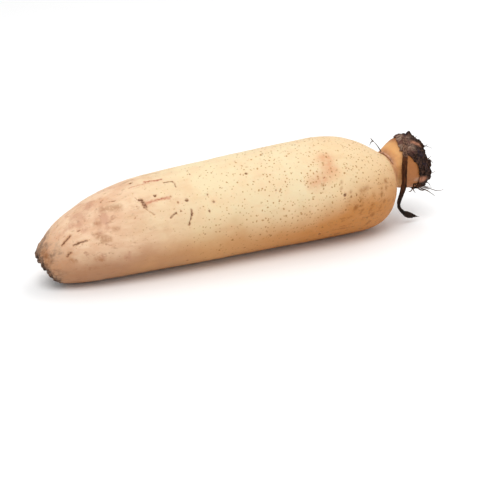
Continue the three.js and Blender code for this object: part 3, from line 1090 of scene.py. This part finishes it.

    # The node, the painted shade in the crease before it, and its cut face
    bulb = w.mix(w.ramp(x_mm, 110, 115), colour(238, 178, 114), colour(182, 116, 64))
    bulb = w.mix(w.ramp(streak, 0.45, 0.65, 0, 0.5), bulb, colour(188, 118, 66))
    base = w.mix(w.ramp(x_mm, 105, 108), base, bulb)
    base = w.mix(w.maths("MULTIPLY", pale, 0.8), base, colour(196, 156, 128))
    # painted shade: a darker orange in the crease before the node
    crease = w.maths("MULTIPLY", w.ramp(x_mm, 101.5, 104.8), w.ramp(x_mm, 109, 106))
    base = w.mix(w.maths("MULTIPLY", crease, w.ramp(fine, 0.2, 0.7, 0.4, 0.85)), base, colour(206, 136, 92))
    cut = w.ramp(x_mm, 129.2, 129.7)
    base = w.mix(cut, base, w.mix(fine, colour(150, 104, 66), colour(222, 186, 138)))

    # The torn scar at the tail
    past = w.vectors("SUBTRACT", place, tuple(TAIL_SCAR * MM))
    out = w.add("ShaderNodeVectorMath", {0: past, 1: tuple(TAIL_OUTWARD)}, operation="DOT_PRODUCT")
    out = w.maths("DIVIDE", out.outputs["Value"], MM)
    out = w.maths("ADD", out, w.maths("MULTIPLY", w.maths("SUBTRACT", fine, 0.5), 8))
    torn = w.ramp(out, -4.4, -2.4)
    scar = w.mix(w.ramp(flecks, 0.4, 0.62), colour(26, 15, 10), colour(142, 106, 82))
    base = w.mix(w.maths("MULTIPLY", torn, 0.92), base, scar)

    base = w.vectors("MULTIPLY", base, (SKIN_TONE, SKIN_TONE, SKIN_TONE))
    w.tree.links.new(base, shader.inputs["Base Color"])
    shader.inputs["Roughness"].default_value = 0.55
    shader.inputs["Specular IOR Level"].default_value = 0.22
    shader.inputs["Subsurface Weight"].default_value = 0.1
    shader.inputs["Subsurface Radius"].default_value = (0.0025, 0.0012, 0.0006)
    shader.inputs["Subsurface Scale"].default_value = 1.0
    height = w.maths("MULTIPLY", fine, 0.5)
    height = w.maths("ADD", height, w.maths("MULTIPLY", streak, 0.5))
    height = w.maths("ADD", height, w.maths("MULTIPLY", dark_pores, -0.4))
    height = w.maths("ADD", height, w.maths("MULTIPLY", w.maths("MAXIMUM", dark, red), -0.9))
    height = w.maths("ADD", height, w.maths("MULTIPLY", w.maths("MULTIPLY", torn, fine), 2.5))
    bump = w.add("ShaderNodeBump", {"Strength": 0.35, "Distance": 0.0005, "Height": height})
    w.tree.links.new(bump.outputs[0], shader.inputs["Normal"])
    return material


def sheath_material():
    """Dry sheath: grey-brown fibres on top, near black with a purple tinge at the near flap."""
    material, w, shader, place = new_material("dry_sheath")
    split = w.add("ShaderNodeSeparateXYZ", {0: place})
    x_mm = w.maths("DIVIDE", split.outputs[0], MM)
    z_mm = w.maths("DIVIDE", split.outputs[2], MM)
    fibres = w.noise(place, 2.2, detail=6, roughness=0.65, stretch=(0.22, 1, 1))
    patch = w.noise(place, 4.5, detail=4, roughness=0.6)
    grain = w.noise(place, 1.3, detail=5, roughness=0.7)
    top = w.mix(w.ramp(fibres, 0.34, 0.62), colour(72, 50, 44), colour(150, 124, 106))
    top = w.mix(w.ramp(patch, 0.46, 0.56, 0, 0.75), top, colour(92, 56, 48))
    top = w.mix(w.ramp(grain, 0.56, 0.66, 0, 0.6), top, colour(40, 26, 28))
    near_black = w.mix(w.ramp(grain, 0.4, 0.7), colour(22, 13, 11), colour(88, 62, 50))
    near_black = w.mix(w.ramp(patch, 0.52, 0.68, 0, 0.6), near_black, colour(44, 36, 50))
    high = w.ramp(w.maths("ADD", z_mm, w.maths("MULTIPLY", w.maths("SUBTRACT", patch, 0.5), 14)), 45, 50)
    back = w.ramp(w.maths("ADD", x_mm, w.maths("MULTIPLY", w.maths("SUBTRACT", patch, 0.5), 10)), 123, 118)
    base = w.mix(w.maths("MULTIPLY", high, back), near_black, top)
    pink = w.add("ShaderNodeAttribute", attribute_name="torn_pink").outputs["Fac"]
    base = w.mix(w.maths("MULTIPLY", pink, w.ramp(grain, 0.25, 0.6, 0.3, 0.95)), base, colour(186, 128, 100))
    w.tree.links.new(base, shader.inputs["Base Color"])
    shader.inputs["Roughness"].default_value = 0.8
    shader.inputs["Specular IOR Level"].default_value = 0.08
    bump = w.add("ShaderNodeBump", {"Strength": 0.7, "Distance": 0.0006, "Height": fibres})
    w.tree.links.new(bump.outputs[0], shader.inputs["Normal"])
    return material


def hanging_root_material():
    """The hanging root's bark: grey-brown fibres at its top, brown below and near black where it curls."""
    material, w, shader, place = new_material("dry_root")
    z_mm = w.maths("DIVIDE", w.add("ShaderNodeSeparateXYZ", {0: place}).outputs[2], MM)
    fibres = w.noise(place, 0.9, detail=5, roughness=0.65, stretch=(1, 1, 0.15))
    patch = w.noise(place, 4, detail=3)
    uneven_z = w.maths("ADD", z_mm, w.maths("MULTIPLY", w.maths("SUBTRACT", patch, 0.5), 12))
    brown = w.mix(w.ramp(fibres, 0.36, 0.64), colour(34, 16, 7), colour(84, 46, 22))
    grey = w.mix(w.ramp(fibres, 0.38, 0.62), colour(50, 32, 26), colour(124, 92, 74))
    black = w.mix(w.ramp(fibres, 0.4, 0.66), colour(16, 10, 7), colour(56, 38, 28))
    base = w.mix(w.ramp(uneven_z, 28, 20), brown, black)
    base = w.mix(w.ramp(uneven_z, 42, 48), base, grey)
    w.tree.links.new(base, shader.inputs["Base Color"])
    shader.inputs["Roughness"].default_value = 0.8
    shader.inputs["Specular IOR Level"].default_value = 0.1
    bump = w.add("ShaderNodeBump", {"Strength": 0.6, "Distance": 0.0004, "Height": fibres})
    w.tree.links.new(bump.outputs[0], shader.inputs["Normal"])
    return material


def plain_bark(name, tone, dark=0.6, light=1.3):
    """Dry bark of one tone, with a grain between its dark and light shares of that tone."""
    material, w, shader, place = new_material(name)
    grain = w.noise(place, 1.6, detail=5, stretch=(1, 1, 0.4))
    low, high = (colour(*(c * share for c in tone)) for share in (dark, light))
    base = w.mix(w.ramp(grain, 0.35, 0.65), low, high)
    w.tree.links.new(base, shader.inputs["Base Color"])
    shader.inputs["Roughness"].default_value = 0.8
    shader.inputs["Specular IOR Level"].default_value = 0.1
    return material


# The stage
def make_camera():
    back = camera_directions()[2]
    bpy.ops.object.camera_add(
        location=(CAMERA_TARGET + back * CAMERA_DISTANCE) * MM,
        rotation=(-back).to_track_quat("-Z", "Y").to_euler(),
    )
    camera = bpy.context.object
    camera.name = "photo_camera"
    camera.data.lens = CAMERA_LENS
    camera.data.sensor_width = CAMERA_SENSOR
    camera.data.clip_start = 0.01
    camera.data.clip_end = 20
    bpy.context.scene.camera = camera


def make_floor():
    bpy.ops.mesh.primitive_plane_add(size=FLOOR_SIDE, location=(0, 0, -FLOOR_DROP))
    floor = added("pale_floor")
    material, _, shader, _ = new_material("pale_floor")
    shader.inputs["Base Color"].default_value = (FLOOR_TONE, FLOOR_TONE, FLOOR_TONE, 1)
    shader.inputs["Roughness"].default_value = 0.9
    floor.data.materials.append(material)


def make_light(name, location, size, power):
    location = Vector(location)
    aim = LIGHTS_AIM - location
    bpy.ops.object.light_add(type="AREA", location=location, rotation=aim.to_track_quat("-Z", "Y").to_euler())
    light = bpy.context.object
    light.name = name
    light.data.shape = "DISK"
    light.data.size = size
    light.data.energy = power


def make_stage():
    make_camera()
    make_floor()
    for light in LIGHTS:
        make_light(**light)
    world = bpy.data.worlds.new("pale_room")
    bpy.context.scene.world = world
    world.use_nodes = True
    background = world.node_tree.nodes["Background"]
    background.inputs[0].default_value = (1, 1, 1, 1)
    background.inputs[1].default_value = ROOM_LIGHT
    bpy.context.scene.view_settings.view_transform = "Standard"


def main():
    noise.seed_set(MARK_EDGE["seed"])
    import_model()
    make_stage()
    skin = skin_material()
    sheath_brown = sheath_material()
    root_brown = plain_bark("rootlet_bark", (62, 36, 18))
    finished(make_flesh(), skin, "lotus_root", slot="root_skin")
    finished(make_sheath(), sheath_brown, "node_sheath", slot="dry_sheath")
    finished(make_rootlets(), root_brown, "node_sheath", slot="dry_sheath")
    finished(make_hanging_root(), hanging_root_material(), "node_sheath", slot="dry_sheath")
    scale_pink = plain_bark("dry_scale", (182, 138, 112), 0.82, 1.08)
    finished(make_scale(), scale_pink, "neck_scale", slot="dry_scale")
    finished(make_scale_root(), plain_bark("scale_root_bark", (84, 76, 70)), "neck_scale", slot="dry_scale")


main()
